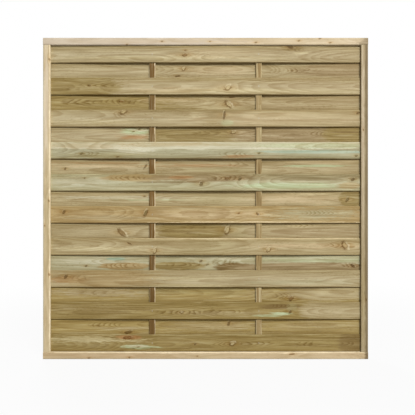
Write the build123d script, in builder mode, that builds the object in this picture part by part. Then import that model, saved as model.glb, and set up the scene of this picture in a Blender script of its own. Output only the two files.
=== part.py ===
from build123d import *
import math
import os

# Woven fence panel: a grooved softwood frame, two upright battens, and bowed slats that pass
# in turn in front of both battens and behind both.
# X runs across the panel, Y from front to back, Z up. The origin is the middle of the foot.
# All sizes are in millimetres.

# Frame
panel_width = 1800.0
panel_height = 1780.0
frame_face = 40.0
frame_depth = 45.0
frame_arris = 5.0
groove_depth = 12.0

# Stub tongues on the stile ends, which fill the rail grooves
tongue_clearance = 0.2
tongue_end_gap = 0.5

# Upright battens
batten_width = 33.0
batten_thickness = 12.0
batten_offset = 296.0
batten_arris = 1.5
batten_clearance = 0.25
batten_end_gap = 0.5

# Slats
slat_width = 95.0
slat_thickness = 6.0
slat_chamfer = 1.2
slat_overlap_min = 2.5
slat_end_gap = 1.0
slat_spread_gap = 0.5
slat_pair_gap = 0.2
slat_seat_gap = 0.05
slat_groove_clearance = 0.2

# Countersunk screws, one at each corner, through the rail and the tongue into the stile
screw_shank = 5.0
screw_head = 9.8
screw_angle = 90.0
screw_length = 80.0
screw_point = 8.0
screw_tip = 0.8
screw_sink = 0.5
screw_clearance = 0.1
recess_width = 1.3
recess_span = 5.0
recess_depth = 2.2
recess_taper = 8.0

# Narrow-crown staples, one at each crossing of slat and batten
staple_crown = 10.0
staple_wire_width = 1.2
staple_wire_thickness = 1.0
staple_corner = 0.5
staple_point = 1.5
staple_cover = 3.0
staple_clearance = 0.05

# Frame places
half_width = panel_width / 2
half_opening = half_width - frame_face
stile_foot = frame_face
stile_top = panel_height - frame_face
stile_centre = half_width - frame_face / 2
tongue_width = frame_face - groove_depth
tongue_centre = half_width - tongue_width / 2

# The bow of a slat. Its inner face is one arc, from the slat's end just past the middle of
# the stile's groove to the outer edge of each batten's face, where it bears.
slat_half_length = half_opening + groove_depth - slat_end_gap
end_height = slat_pair_gap / 2
bearing_place = batten_offset + batten_width / 2 - batten_arris
bearing_height = batten_thickness / 2 + slat_seat_gap
bow_centre = (slat_half_length**2 - bearing_place**2 + end_height**2 - bearing_height**2) / (
    2 * (end_height - bearing_height)
)
inner_radius = math.hypot(slat_half_length, end_height - bow_centre)
outer_radius = inner_radius + slat_thickness

# Heights of the slats: enough of them for each to overlap the next, spread evenly between the rails
slat_top = stile_top - slat_spread_gap
slat_stack = slat_top - stile_foot - slat_spread_gap
slat_count = math.ceil((slat_stack - slat_overlap_min) / (slat_width - slat_overlap_min))
slat_pitch = (slat_stack - slat_width) / (slat_count - 1)


def bow_height(place, radius):
    """How far a slat's face stands from the panel's middle plane, at a place along the slat."""
    return bow_centre + math.sqrt(radius**2 - place**2)


def slat_side(number):
    """-1 for a slat that passes in front of the battens, 1 for one that passes behind."""
    return -1 if number % 2 else 1


def slat_foot(number):
    """Height of a slat's lower edge. Slat 1 is the top one."""
    return slat_top - slat_width - (number - 1) * slat_pitch


# Grooves: the rails hold the battens and tongues, the stiles hold the slat ends
rail_groove = batten_thickness + 2 * batten_clearance
stile_groove = 2 * (bow_height(half_opening, outer_radius) + slat_groove_clearance)
tongue_thickness = rail_groove - 2 * tongue_clearance
tongue_length = groove_depth - tongue_end_gap
batten_foot = stile_foot - groove_depth + batten_end_gap
batten_top = stile_top + groove_depth - batten_end_gap

# Screws, in the middle of the tongues
screw_hole = screw_shank / 2 + screw_clearance
screw_mouth = screw_head / 2 + screw_clearance + screw_sink * math.tan(math.radians(screw_angle / 2))
pilot_depth = screw_length + screw_sink - (frame_face - tongue_length) + screw_clearance
screw_cone = (screw_head - screw_shank) / 2 / math.tan(math.radians(screw_angle / 2))

# Staples, from the slat's outer face to near the batten's far face
staple_seat = bow_height(batten_offset - staple_wire_width / 2, outer_radius)
staple_leg = staple_seat + batten_thickness / 2 - staple_cover
leg_offset = (staple_crown - staple_wire_thickness) / 2
slot_width = staple_wire_width + 2 * staple_clearance
slot_height = staple_wire_thickness + 2 * staple_clearance
slot_depth = batten_thickness - staple_cover + staple_clearance

os.makedirs("parts", exist_ok=True)


def leg_heights(number):
    """Heights of the two legs of a staple in one slat."""
    middle = slat_foot(number) + slat_width / 2
    return (middle - leg_offset, middle + leg_offset)


def face_arc(radius, side):
    """Ends and middle of one face of a slat, seen from above."""
    places = (-slat_half_length, 0, slat_half_length)
    return [(place, side * bow_height(place, radius)) for place in places]


# Rails, full width, grooved in the face that looks at the slats
for name, outer_face, outward in (("top_rail", panel_height, 1), ("bottom_rail", 0, -1)):
    rail_centre = outer_face - outward * frame_face / 2
    groove_centre = outer_face - outward * (frame_face - groove_depth / 2)
    with BuildPart() as rail:
        with BuildSketch(Plane.YZ.offset(-half_width)) as section:
            with Locations((0, rail_centre)):
                Rectangle(frame_depth, frame_face)
            fillet(section.vertices(), frame_arris)
            with Locations((0, groove_centre)):
                Rectangle(rail_groove, groove_depth, mode=Mode.SUBTRACT)
        extrude(amount=panel_width)
        screw_face = Plane(origin=(0, 0, outer_face), x_dir=(1, 0, 0), z_dir=(0, 0, outward))
        with Locations(screw_face):
            with GridLocations(2 * tongue_centre, frame_depth, 2, 1):
                CounterSinkHole(screw_hole, screw_mouth, frame_face, screw_angle)
    rail.part.label = name
    export_step(rail.part, f"parts/{name}.step")

# Stiles, between the rails, grooved for the slats, with a stub tongue on each end
for name, side in (("left_stile", -1), ("right_stile", 1)):
    with BuildPart() as stile:
        with BuildSketch(Plane.XY.offset(stile_foot)) as section:
            with Locations((side * stile_centre, 0)):
                Rectangle(frame_face, frame_depth)
            fillet(section.vertices(), frame_arris)
            with Locations((side * (half_opening + groove_depth / 2), 0)):
                Rectangle(groove_depth, stile_groove, mode=Mode.SUBTRACT)
        extrude(amount=stile_top - stile_foot)
        with BuildSketch(Plane.XY.offset(stile_foot - tongue_length)):
            with Locations((side * tongue_centre, 0)):
                Rectangle(tongue_width, tongue_thickness)
        extrude(amount=stile_top - stile_foot + 2 * tongue_length)
        for tongue_end, outward in (
            (stile_foot - tongue_length, -1),
            (stile_top + tongue_length, 1),
        ):
            with Locations(Plane(origin=(side * tongue_centre, 0, tongue_end), z_dir=(0, 0, outward))):
                Hole(screw_hole, pilot_depth)
    stile.part.label = name
    export_step(stile.part, f"parts/{name}.step")

# Battens, their ends in the rail grooves, slotted where the staple legs enter
for name, place in (("left_batten", -batten_offset), ("right_batten", batten_offset)):
    with BuildPart() as batten:
        with BuildSketch(Plane.XY.offset(batten_foot)) as section:
            with Locations((place, 0)):
                Rectangle(batten_width, batten_thickness)
            fillet(section.vertices(), batten_arris)
        extrude(amount=batten_top - batten_foot)
        for side in (-1, 1):
            batten_face = Plane(
                origin=(0, side * batten_thickness / 2, 0), x_dir=(-side, 0, 0), z_dir=(0, side, 0)
            )
            numbers = [n for n in range(1, slat_count + 1) if slat_side(n) == side]
            heights = [height for n in numbers for height in leg_heights(n)]
            with BuildSketch(batten_face):
                with Locations([(-side * place, height) for height in heights]):
                    Rectangle(slot_width, slot_height)
            extrude(amount=-slot_depth, mode=Mode.SUBTRACT)
    batten.part.label = name
    export_step(batten.part, f"parts/{name}.step")

# Slats, bowed over the battens on one side or the other
for number in range(1, slat_count + 1):
    side = slat_side(number)
    name = f"slat_{number:02d}"
    with BuildPart() as slat:
        with BuildSketch(Plane.XY.offset(slat_foot(number))):
            with BuildLine():
                inner = ThreePointArc(*face_arc(inner_radius, side))
                outer = ThreePointArc(*face_arc(outer_radius, side))
                Line(inner @ 0, outer @ 0)
                Line(inner @ 1, outer @ 1)
            make_face()
        extrude(amount=slat_width)
        chamfer(slat.edges().filter_by(GeomType.CIRCLE), slat_chamfer)
        with BuildSketch(Plane.XZ.offset(-side * bearing_height)):
            with Locations(
                [(x, z) for x in (-batten_offset, batten_offset) for z in leg_heights(number)]
            ):
                Rectangle(slot_width, slot_height)
        extrude(amount=staple_seat, both=True, mode=Mode.SUBTRACT)
    slat.part.label = name
    export_step(slat.part, f"parts/{name}.step")

# One screw, head up, its head's top at the origin
with BuildPart() as screw:
    with BuildSketch(Plane.XZ):
        with BuildLine():
            Polyline(
                (0, 0),
                (screw_head / 2, 0),
                (screw_shank / 2, -screw_cone),
                (screw_shank / 2, screw_point - screw_length),
                (screw_tip, -screw_length),
                (0, -screw_length),
                close=True,
            )
        make_face()
    revolve(axis=Axis.Z)
    with BuildSketch(Plane.XY):
        Rectangle(recess_span, recess_width)
        Rectangle(recess_width, recess_span)
    extrude(amount=-recess_depth, taper=recess_taper, mode=Mode.SUBTRACT)

# All the corner screws, sunk a little below the outer faces of the rails
with BuildPart() as corner_screws:
    for outer_face, outward in ((panel_height, 1), (0, -1)):
        head_height = outer_face - outward * screw_sink
        head_face = Plane(origin=(0, 0, head_height), x_dir=(1, 0, 0), z_dir=(0, 0, outward))
        with Locations(head_face):
            with GridLocations(2 * tongue_centre, frame_depth, 2, 1):
                add(screw.part)
corner_screws.part.label = "corner_screws"
export_step(corner_screws.part, "parts/corner_screws.step")

# One staple, its crown along Z on a face at Y = 0, its legs along +Y
with BuildPart() as staple:
    with BuildSketch(Plane.YZ.offset(-staple_wire_width / 2)):
        with BuildLine():
            Polyline(
                (staple_leg - staple_point, staple_crown / 2),
                (-staple_wire_thickness, staple_crown / 2),
                (-staple_wire_thickness, -staple_crown / 2),
                (staple_leg - staple_point, -staple_crown / 2),
                (staple_leg, staple_wire_thickness - staple_crown / 2),
                (0, staple_wire_thickness - staple_crown / 2),
                (0, staple_crown / 2 - staple_wire_thickness),
                (staple_leg, staple_crown / 2 - staple_wire_thickness),
                close=True,
            )
        make_face()
    extrude(amount=staple_wire_width)
    crown_edges = staple.edges().filter_by(Axis.X).group_by(Axis.Y)[0]
    chamfer(crown_edges, staple_corner)

# All the staples, each driven from the side that its slat lies on
with BuildPart() as slat_staples:
    for number in range(1, slat_count + 1):
        side = slat_side(number)
        middle = slat_foot(number) + slat_width / 2
        for place in (-batten_offset, batten_offset):
            turn = 0 if side < 0 else 180
            with Locations(Location((place, side * staple_seat, middle), (0, 0, turn))):
                add(staple.part)
slat_staples.part.label = "slat_staples"
export_step(slat_staples.part, "parts/slat_staples.step")
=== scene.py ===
import math
from collections import namedtuple
from functools import partial
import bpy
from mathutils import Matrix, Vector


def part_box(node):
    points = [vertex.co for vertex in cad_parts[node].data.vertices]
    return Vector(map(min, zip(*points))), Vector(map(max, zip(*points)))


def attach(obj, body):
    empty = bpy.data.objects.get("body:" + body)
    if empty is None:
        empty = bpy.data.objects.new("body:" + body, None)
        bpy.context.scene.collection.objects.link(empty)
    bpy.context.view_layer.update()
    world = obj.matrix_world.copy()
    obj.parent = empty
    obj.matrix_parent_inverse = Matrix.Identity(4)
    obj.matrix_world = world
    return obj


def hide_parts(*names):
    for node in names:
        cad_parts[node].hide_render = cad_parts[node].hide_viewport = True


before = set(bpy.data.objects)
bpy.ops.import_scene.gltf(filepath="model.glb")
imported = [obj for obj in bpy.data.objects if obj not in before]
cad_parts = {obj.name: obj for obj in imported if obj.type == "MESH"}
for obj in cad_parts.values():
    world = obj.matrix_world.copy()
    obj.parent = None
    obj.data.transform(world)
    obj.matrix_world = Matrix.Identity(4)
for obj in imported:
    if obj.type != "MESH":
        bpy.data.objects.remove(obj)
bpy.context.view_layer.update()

from types import SimpleNamespace

import bmesh
import bpy
from mathutils import Vector, noise

# Woven fence panel, dressed in pressure-treated softwood. X runs across the panel, Y from front
# to back, Z up, in metres. Grain is laid out in millimetres along and across each piece of timber.

MM = 0.001
BODY = "root"

# Timber sizes that a node's box doesn't give
FRAME_ARRIS = 5 * MM
GROOVE_DEPTH = 12 * MM
RAIL_GROOVE = 12.5 * MM
STILE_GROOVE_PLAY = 0.35 * MM
BATTEN_ARRIS = 1.5 * MM
SLAT_THICKNESS = 6 * MM
SLAT_EDGE = 1.5 * MM
SAWN_EDGE = 0.6 * MM
TONGUE_THICKNESS = 12.1 * MM
TONGUE_ARRIS = 0.4 * MM
TONGUE_BITE = 4 * MM

# How uneven the timber is: bars as a share of their section, slats at their edges and faces
FRAME_UNEVEN = 0.008
BATTEN_UNEVEN = 0.01
SLAT_EDGE_UNEVEN = 0.7 * MM
SLAT_FACE_UNEVEN = 0.3 * MM
# Lumps of that unevenness to the metre, along and across, and how far apart the noise of the two
# edges and of the two faces is read
BAR_LUMPS = (3.1, 45.0)
SLAT_EDGE_LUMPS = 5.0
SLAT_FACE_LUMPS = (9.0, 40.0)
EDGES_APART = 9.0
FACES_APART = 7.0

# How finely the pieces are meshed
BAR_STATION = 12 * MM
SLAT_STATIONS = 200
SLAT_SECTION_POINTS = 56
HOLE_SEGMENTS = 48
SCREW_SEGMENTS = 24
THREAD_ROWS = 170
POINT_ROWS = 20
SHARP_ANGLE = 35

# Fixings
SCREW_HEAD = 9.8 * MM
SCREW_RIM = 0.2 * MM
SCREW_SHANK = 5.0 * MM
SCREW_LENGTH = 80 * MM
SCREW_SINK = 0.5 * MM
SCREW_POINT = 8 * MM
PLAIN_SHARE = 0.4
HOLE_DEPTH = 60 * MM
HOLE_PLAY = 0.15 * MM
HOLE_OVERRUN = 2 * MM
THREAD_PITCH = 2.2 * MM
THREAD_DEPTH = 0.7 * MM
THREAD_SHARPNESS = 5
RECESS_SPAN = 5.0 * MM
RECESS_WIDTH = 1.3 * MM
RECESS_DEPTH = 2.2 * MM
RECESS_TAPER = 0.75
STAPLE_CROWN = 10 * MM
STAPLE_LEG = 15.1 * MM
STAPLE_WIRE_WIDTH = 1.2 * MM
STAPLE_WIRE_THICKNESS = 1.0 * MM
STAPLE_WIRE_ARRIS = 0.25 * MM
STAPLE_BEND = 1.1 * MM
BEND_STEPS = 6

# Metals: bright and dull colour, and polish
GALVANISED = (0.62, 0.62, 0.60, 1.0), (0.36, 0.36, 0.35, 1.0), 0.38
YELLOW_ZINC = (0.66, 0.55, 0.32, 1.0), (0.42, 0.36, 0.24, 1.0), 0.30

# Camera and lamps
CAMERA_DISTANCE = 3.2
CAMERA_PLACE = (0.0108, 0.84)
VIEW_WIDTH = 2.296
SENSOR = 36
FARTHEST_SEEN = 200.0
AMBIENT = 0.26
LAMP_TARGET = (0.0, 0.0, 0.9)
LAMP_SIZE = 4.0
LAMPS = {"key": ((3.0, -8.5, 7.0), 1240.0), "fill": ((-3.4, 8.5, 5.5), 620.0)}
FLOOR_TONE = 0.5
FLOOR_ROUGHNESS = 0.9
FLOOR_RADIUS = 60.0
FLOOR_SEGMENTS = 96
# How white the floor looks close to the panel, and between which distances it turns fully white
FLOOR_GLOW = 0.93
FLOOR_FADE = (1.2, 4.0)

# Tones of the timber in sRGB
TONES = {
    "straw": (184, 170, 136),
    "sand": (178, 163, 127),
    "honey": (175, 153, 110),
    "olive": (152, 134, 86),
    "brown": (131, 109, 70),
    "rust": (176, 132, 86),
    "blush": (198, 178, 142),
    "cream": (214, 203, 164),
    "chalk": (208, 204, 181),
    # lap: the colour of the painted shadow under the slats in front
    "lap": (100, 76, 28),
    "umber": (157, 138, 104),
    "moss": (167, 157, 114),
    "sage": (185, 180, 149),
    "mint": (190, 203, 166),
    "lagoon": (160, 184, 168),
    "planed": (214, 199, 178),
    "stile": (204, 186, 150),
    # A pale tone, used mostly as a painted highlight on edges that face the lamp
    "pale wood or painted highlight": (250, 234, 200),
    "foot": (206, 184, 148),
    "drab": (196, 188, 160),
    "shadowed": (96, 78, 48),
    "batten": (119, 90, 48),
    "red knot": (118, 84, 48),
    "dark knot": (72, 54, 30),
    "green knot": (92, 92, 58),
    "pale knot": (204, 190, 146),
    "gleam": (236, 226, 190),
}
RING_EDGE = (0.62, 0.53, 0.38, 1.0)
KNOT_EDGE = (0.40, 0.30, 0.18, 1.0)
STREAK_SHADE = (0.74, 0.70, 0.59, 1.0)
# Painted shade towards a slat's two edges
CROWN_PAINTED_SHADE = (0.80, 0.76, 0.64, 1.0)
# Painted shadow under a slat's foot
FOOT_PAINTED_SHADOW = (0.34, 0.26, 0.11, 1.0)
HALO_SHADE = (0.88, 0.72, 0.48, 1.0)

# How strongly each mark in the wood shows, from 0 to 1
STRENGTHS = {
    "rings": 0.5, "streaks": 0.6, "clouds": 0.5, "pale streaks": 0.22, "flecks": 0.6, "fibres": 0.45,
    # foot is the painted shadow under each slat's lower edge
    "halo": 0.7, "rubbed edge": 0.55, "arches": 0.95, "foot": 0.9,
    "knot body": 0.5, "knot rings": 0.6, "knot rim and painted shade": 0.8,
}
WOOD_SHINE = 0.12
WOOD_BUMP = 0.35, 0.3 * MM
METAL_BUMP = 0.2, 0.1 * MM

# Places on a piece of timber: along it from its middle and across it from its centre line
# A knot's gleam is how strongly the painted highlight on one side of it shows
Knot = namedtuple(
    "Knot", "along across radius tone lift stretch slant gleam", defaults=("red knot", 7, 1.5, 0.5, 0.15)
)
Swell = namedtuple("Swell", "along length lift")
# Patches of another tone: most are the wood's own colour, some are painted shade or painted highlight, as
# noted where they stand
StainOrPaintedLight = namedtuple("StainOrPaintedLight", "along across half_length half_height tone strength soft", defaults=(0.6, 1.0))
Arch = namedtuple("Arch", "along across half_length half_height spacing flatness strength")


def board(tone, shade, pith, rings, taper, knots=(), swells=(), stains=(), arches=(), contrast=1.0,
          crown=0.8):
    """A piece of timber. The trunk's pith lies so far across from the piece's centre line and so far
    behind its middle, and taper is how fast it comes nearer along the piece. rings is the width of a
    growth ring, contrast is how strongly the figure shows, and crown how strongly the painted shade
    towards a slat's edges shows. The marks are plain tuples in the order of their kind's names above."""
    return SimpleNamespace(
        tone=tone, shade=shade, pith=pith, rings=rings, taper=taper, contrast=contrast, crown=crown,
        knots=[Knot(*mark) for mark in knots], swells=[Swell(*mark) for mark in swells],
        stains=[StainOrPaintedLight(*mark) for mark in stains], arches=[Arch(*mark) for mark in arches],
    )


# The nineteen slats, top one first
SLATS = [
    board("straw", 0.93, (-16, 63), 5.2, 0.014, knots=[
        (-115, -4, 8), (470, 44, 9, "dark knot", 10, 2.6, -0.5), (-112, 18, 4, "red knot", 4),
    ], swells=[(-560, 260, 6)], stains=[
        # The olive band along the top edge is a painted shadow under the top rail.
        (0, 42, 900, 8, "olive", 0.55), (-200, -20, 640, 9, "cream", 0.5),
        (524, 6, 44, 6, "cream", 0.7, 0.5), (480, 30, 60, 12, "olive", 0.7, 0.4),
        (60, 4, 260, 30, "blush", 0.4), (640, 0, 420, 60, "umber", 0.35, 0.8),
    ], arches=[(500, 26, 60, 18, 28, -8, 0.6)]),
    board("sand", 0.93, (12, 57), 4.8, -0.02, knots=[
        (-122, 11, 7, "pale knot", 6, 1.4, 0.9, 0.4), (-153, -25, 5, "dark knot", 5, 3.0, 0.2),
        (480, 2, 3, "green knot", 10),
    ], swells=[(620, 260, 10)], stains=[
        (-500, 4, 380, 16, "straw", 0.6), (760, 2, 260, 40, "umber", 0.95, 0.4),
        (-300, -40, 560, 7, "cream", 0.5), (60, 4, 200, 30, "blush", 0.5),
    ], arches=[(500, 2, 70, 14, 32, 7, 0.9), (585, 6, 40, 10, 36, 6, 0.7)]),
    board("straw", 0.98, (-4, 66), 5.4, 0.018, knots=[
        (125, -8, 12, "pale knot", 8, 1.5, 0.7, 0.35), (-645, 5, 3, "dark knot", 6, 3.0, 0.0),
    ], stains=[
        (-740, 0, 290, 70, "olive", 0.95, 0.3), (300, -24, 700, 12, "cream", 0.6),
        (200, 36, 700, 8, "olive", 0.45), (-200, -24, 200, 16, "blush", 0.5),
        (640, 12, 400, 50, "umber", 0.45, 0.7),
    ], arches=[(-600, 5, 110, 16, 44, -4, 1.0), (-740, -14, 60, 12, 40, -5, 0.6)]),
    board("olive", 1.04, (6, 54), 4.6, 0.016, knots=[
        (-470, 8, 5, "red knot", 8, 2.4, 0.0), (130, -8, 11, "pale knot", 8, 2.2, -0.7, 0.35),
        (148, 26, 4, "dark knot", 4, 3.0, 0.2),
    ], stains=[
        (430, 0, 700, 60, "sand", 0.85, 0.5), (-200, 16, 160, 12, "blush", 0.5),
        (120, -30, 160, 10, "cream", 0.5), (620, 0, 480, 60, "umber", 0.5, 0.6),
    ], arches=[
        (-720, 2, 130, 22, 52, -7, 1.0), (-510, 6, 90, 14, 34, -11, 0.9), (-420, 4, 70, 14, 40, 11, 0.8),
    ]),
    board("straw", 0.95, (22, 75), 6.0, -0.01, knots=[
        (-455, 36, 9, "pale knot", 6, 2.2, 0.5, 0.35), (103, 20, 6, "dark knot", 6, 3.6, 1.5, 0.3),
        (850, 32, 6, "dark knot", 5),
    ], stains=[
        (500, 0, 520, 50, "blush", 0.55), (120, -26, 40, 16, "mint", 0.5, 0.6),
        (-600, -20, 260, 14, "cream", 0.5), (0, 42, 880, 6, "olive", 0.4), (60, 0, 60, 40, "olive", 0.4),
        (720, 0, 260, 60, "sand", 0.5),
    ], arches=[(-480, 20, 50, 22, 30, -11, 0.6)]),
    board("straw", 0.94, (-8, 60), 4.4, 0.016, knots=[
        (-369, 31, 4, "dark knot", 4), (155, 14, 8, "pale knot", 6, 1.6, 0.3, 0.35),
        (-402, 20, 3, "dark knot", 3, 3.0, 0.4),
    ], stains=[
        (-390, 20, 84, 19, "mint", 1.0, 0.7), (-372, 26, 60, 9, "chalk", 0.9, 0.8),
        (-400, -14, 90, 12, "rust", 0.7, 0.8), (-70, 0, 250, 70, "olive", 0.9, 0.3),
        (480, 0, 330, 60, "umber", 0.9, 0.4), (800, 0, 150, 70, "olive", 1.0, 0.3),
        (790, 14, 90, 4, "brown", 0.9, 0.4),
    ], arches=[(620, 6, 50, 20, 26, -8, 0.9), (20, 8, 120, 16, 60, 5, 0.7)]),
    board("sage", 0.83, (18, 78), 6.5, 0.008, knots=[
        (-488, -35, 4, "dark knot", 3), (298, -14, 5, "green knot", 5), (839, -28, 5, "green knot", 5),
        (-690, -16, 4, "green knot", 4, 2.4),
    ], swells=[(-700, 140, 6)], stains=[
        (-60, 34, 1400, 30, "chalk", 1.0, 0.22), (-390, 6, 130, 24, "chalk", 0.8, 0.5),
        (-640, 24, 260, 18, "blush", 0.5), (-200, 34, 300, 12, "blush", 0.6),
        (600, -8, 330, 10, "lagoon", 0.6, 0.5), (600, 26, 330, 16, "mint", 0.5, 0.5),
        (185, -34, 90, 10, "rust", 0.7, 0.5), (-560, -26, 220, 16, "moss", 0.6),
        (0, -46, 900, 4, "brown", 0.7), (300, -36, 300, 7, "umber", 0.6),
    ], arches=[(-650, -18, 80, 18, 30, 8, 0.7), (160, -20, 110, 16, 34, -8, 0.7)]),
    board("sand", 0.98, (-20, 66), 5.0, -0.016, knots=[
        (-783, -11, 5, "dark knot", 6, 1.4, 1.2), (-335, 4, 5, "dark knot", 6, 3.0, 1.0),
    ], stains=[
        (-338, 14, 34, 24, "sage", 0.9, 0.6), (-560, 2, 330, 8, "blush", 0.9),
        (-560, 20, 300, 6, "rust", 0.5), (-40, 6, 220, 9, "rust", 0.55),
        (600, 4, 170, 8, "mint", 0.9, 0.6), (620, 24, 260, 8, "blush", 0.5),
        (60, -20, 260, 14, "moss", 0.4),
    ], arches=[(190, 12, 80, 16, 48, 6, 0.7)]),
    board("sage", 0.98, (10, 72), 5.6, 0.014, knots=[
        (-672, 25, 3, "dark knot", 4), (-25, -6, 9, "dark knot", 10, 1.2, 1.2, 0.2),
        (120, 22, 7, "red knot", 10), (190, 20, 5, "green knot", 8),
        (820, 19, 7, "dark knot", 8, 1.6, 0.6),
    ], stains=[
        (-400, 26, 190, 20, "honey", 1.0, 0.35), (-20, 28, 320, 26, "umber", 0.9, 0.35),
        (540, 34, 420, 26, "brown", 0.5, 0.3), (470, -18, 300, 18, "mint", 0.85, 0.6),
        (-720, 10, 150, 26, "chalk", 0.5), (-140, 28, 70, 10, "rust", 0.7, 0.5),
        (800, -18, 70, 20, "honey", 0.8, 0.5), (-200, 2, 200, 6, "brown", 0.6, 0.5),
    ], arches=[(-430, 24, 120, 14, 32, -8, 0.9), (120, 24, 120, 16, 30, 8, 0.9)]),
    board("sand", 1.02, (-12, 60), 5.2, 0.01, knots=[
        (790, -4, 7, "green knot", 8, 1.8, 1.1), (-340, 14, 4, "green knot", 4),
    ], stains=[
        (-480, 6, 400, 9, "chalk", 0.6), (-300, -8, 200, 6, "mint", 0.5), (470, 2, 270, 34, "blush", 0.8),
        (600, 26, 180, 5, "cream", 0.7), (810, 0, 70, 54, "olive", 0.95, 0.3),
        (60, 0, 220, 40, "moss", 0.35), (300, -10, 40, 30, "honey", 0.6),
    ]),
    board("honey", 1.06, (8, 63), 5.0, -0.014, knots=[
        (-788, 16, 7, "dark knot", 8, 1.6, 1.2), (-333, 10, 8, "green knot", 10, 2.4, 1.1, 0.3),
        (290, 4, 6, "dark knot", 8, 1.4, -0.6), (185, 8, 4, "red knot", 6),
    ], stains=[
        (280, -43, 640, 5, "pale wood or painted highlight", 0.8, 0.5), (20, 4, 330, 30, "blush", 0.7),
        (600, 4, 230, 34, "sage", 0.85), (-560, -16, 230, 14, "straw", 0.7),
        (-100, 36, 300, 8, "straw", 0.5),
    ], arches=[(640, 8, 110, 24, 24, 8, 0.7)]),
    board("sand", 0.97, (-10, 57), 4.6, 0.018, knots=[
        (-465, -12, 12, "batten", 8, 2.4, -0.7, 0.4), (122, 2, 11, "pale knot", 8, 2.0, 1.2, 0.35),
    ], stains=[
        (-70, 0, 210, 60, "olive", 1.0, 0.3), (-90, -6, 200, 10, "brown", 0.5),
        (540, 24, 90, 9, "cream", 0.7, 0.5), (560, 0, 330, 40, "blush", 0.35),
        (180, 0, 50, 60, "moss", 0.4), (640, -12, 320, 40, "umber", 0.5, 0.6),
    ], arches=[(540, 26, 80, 10, 30, 8, 0.8), (-60, 16, 100, 14, 60, 4, 0.5)]),
    board("sand", 1.03, (14, 69), 5.4, -0.012, knots=[
        (-281, -22, 8, "pale knot", 8, 2.0, 1.2, 0.35), (350, -16, 9, "pale knot", 8, 1.6, 0.9, 0.35),
        (775, 6, 14, "honey", 8, 1.6, -0.9, 0.4), (-420, 16, 4, "dark knot", 5, 3.0, -0.4),
    ], stains=[
        (-590, -12, 260, 13, "cream", 0.7), (540, 4, 300, 16, "blush", 0.9),
        # The pale band along the top edge is a painted highlight.
        (240, 44, 640, 4, "pale wood or painted highlight", 0.7, 0.5), (0, -8, 240, 40, "moss", 0.35),
    ], arches=[(740, 8, 70, 26, 28, 14, 0.8)]),
    board("sage", 0.96, (4, 54), 5.0, 0.02, knots=[
        (-666, -18, 4, "dark knot", 4), (-25, 9, 6, "dark knot", 8), (10, -8, 5, "green knot", 6),
        (822, -18, 7, "dark knot", 8, 1.8, -0.5),
    ], stains=[
        (-620, 10, 240, 26, "chalk", 0.5), (-500, 20, 60, 9, "lagoon", 0.9, 0.5),
        (-450, -20, 150, 20, "honey", 1.0, 0.22), (-160, -20, 160, 24, "olive", 1.0, 0.25),
        (170, -26, 130, 24, "brown", 1.0, 0.3), (600, 26, 360, 24, "mint", 0.6, 0.5),
        (600, 30, 360, 18, "chalk", 0.6, 0.5), (580, -30, 420, 30, "umber", 1.0, 0.2),
        (100, 20, 200, 10, "chalk", 0.5),
    ], arches=[
        (-470, -18, 120, 14, 32, -8, 1.0), (-110, -14, 130, 12, 40, 6, 0.9),
        (100, -4, 90, 18, 28, -11, 0.8), (800, -16, 60, 18, 28, 11, 0.8),
    ]),
    board("straw", 0.98, (-18, 66), 5.6, 0.01, knots=[(-778, 13, 8, "dark knot", 8, 1.4, 1.1)], stains=[
        (-760, -6, 110, 20, "rust", 1.0, 0.6), (-560, 0, 300, 60, "honey", 0.9, 0.6),
        (550, -20, 400, 14, "sage", 0.6), (-100, -38, 200, 8, "cream", 0.5),
        (-100, 4, 240, 14, "cream", 0.4),
    ], arches=[(-700, 4, 60, 20, 32, -11, 0.5)]),
    board("olive", 1.24, (10, 60), 4.8, -0.016, knots=[(477, -22, 9, "red knot", 10, 1.5, 0.9)], stains=[
        (-600, 14, 320, 24, "straw", 0.95), (-200, 14, 160, 14, "moss", 0.5),
        (-500, -10, 330, 8, "brown", 0.35), (680, 10, 270, 50, "straw", 0.85, 0.6),
        (90, 20, 160, 30, "moss", 0.4), (340, 0, 140, 30, "sand", 0.5),
    ], arches=[(-620, 10, 130, 14, 68, -4, 0.6), (430, -10, 60, 26, 28, 11, 0.7)]),
    board("olive", 1.08, (-6, 54), 4.4, 0.016, knots=[
        (-133, -8, 6, "pale knot", 8, 1.4, 0.2, 0.35), (470, -4, 6, "dark knot", 5, 1.6, 1.0),
    ], stains=[
        (-620, 6, 320, 40, "brown", 0.35), (345, -26, 70, 7, "mint", 0.8, 0.9),
        (420, -15, 70, 8, "mint", 1.0, 0.8), (420, 24, 130, 16, "brown", 0.8, 0.4),
        (740, 0, 230, 70, "straw", 0.85, 0.25), (100, -16, 260, 14, "straw", 0.4),
        (480, 14, 30, 30, "moss", 0.7, 0.5),
    ], arches=[
        (-190, -8, 90, 13, 36, -8, 1.0), (-80, -8, 80, 13, 34, 8, 1.0), (50, -4, 60, 12, 44, 7, 0.9),
        (160, -4, 50, 12, 40, 7, 0.9), (430, 28, 80, 12, 24, 8, 0.7),
    ]),
    board("olive", 1.28, (12, 60), 4.8, 0.014, knots=[
        (-430, -31, 8, "dark knot", 7, 2.6, 0.3), (128, 16, 7, "dark knot", 8, 1.6, 1.3),
    ], stains=[
        (40, 0, 280, 30, "straw", 0.5), (600, 6, 330, 30, "sand", 0.5), (560, -34, 340, 7, "brown", 0.4),
        (-480, -12, 160, 10, "straw", 0.5),
    ], arches=[(-560, 8, 110, 18, 32, -7, 0.9)]),
    board("olive", 1.06, (-8, 57), 4.6, -0.018, knots=[
        (-430, 30, 9, "red knot", 8, 2.4, 0.1), (-58, -5, 4, "dark knot", 5),
        (150, -3, 10, "pale knot", 8, 1.6, 0.4, 0.35), (-372, -19, 3, "dark knot", 3, 2.6, 0.2),
        (-398, -27, 2, "dark knot", 3, 3.0, 0.0),
    ], stains=[
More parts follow.
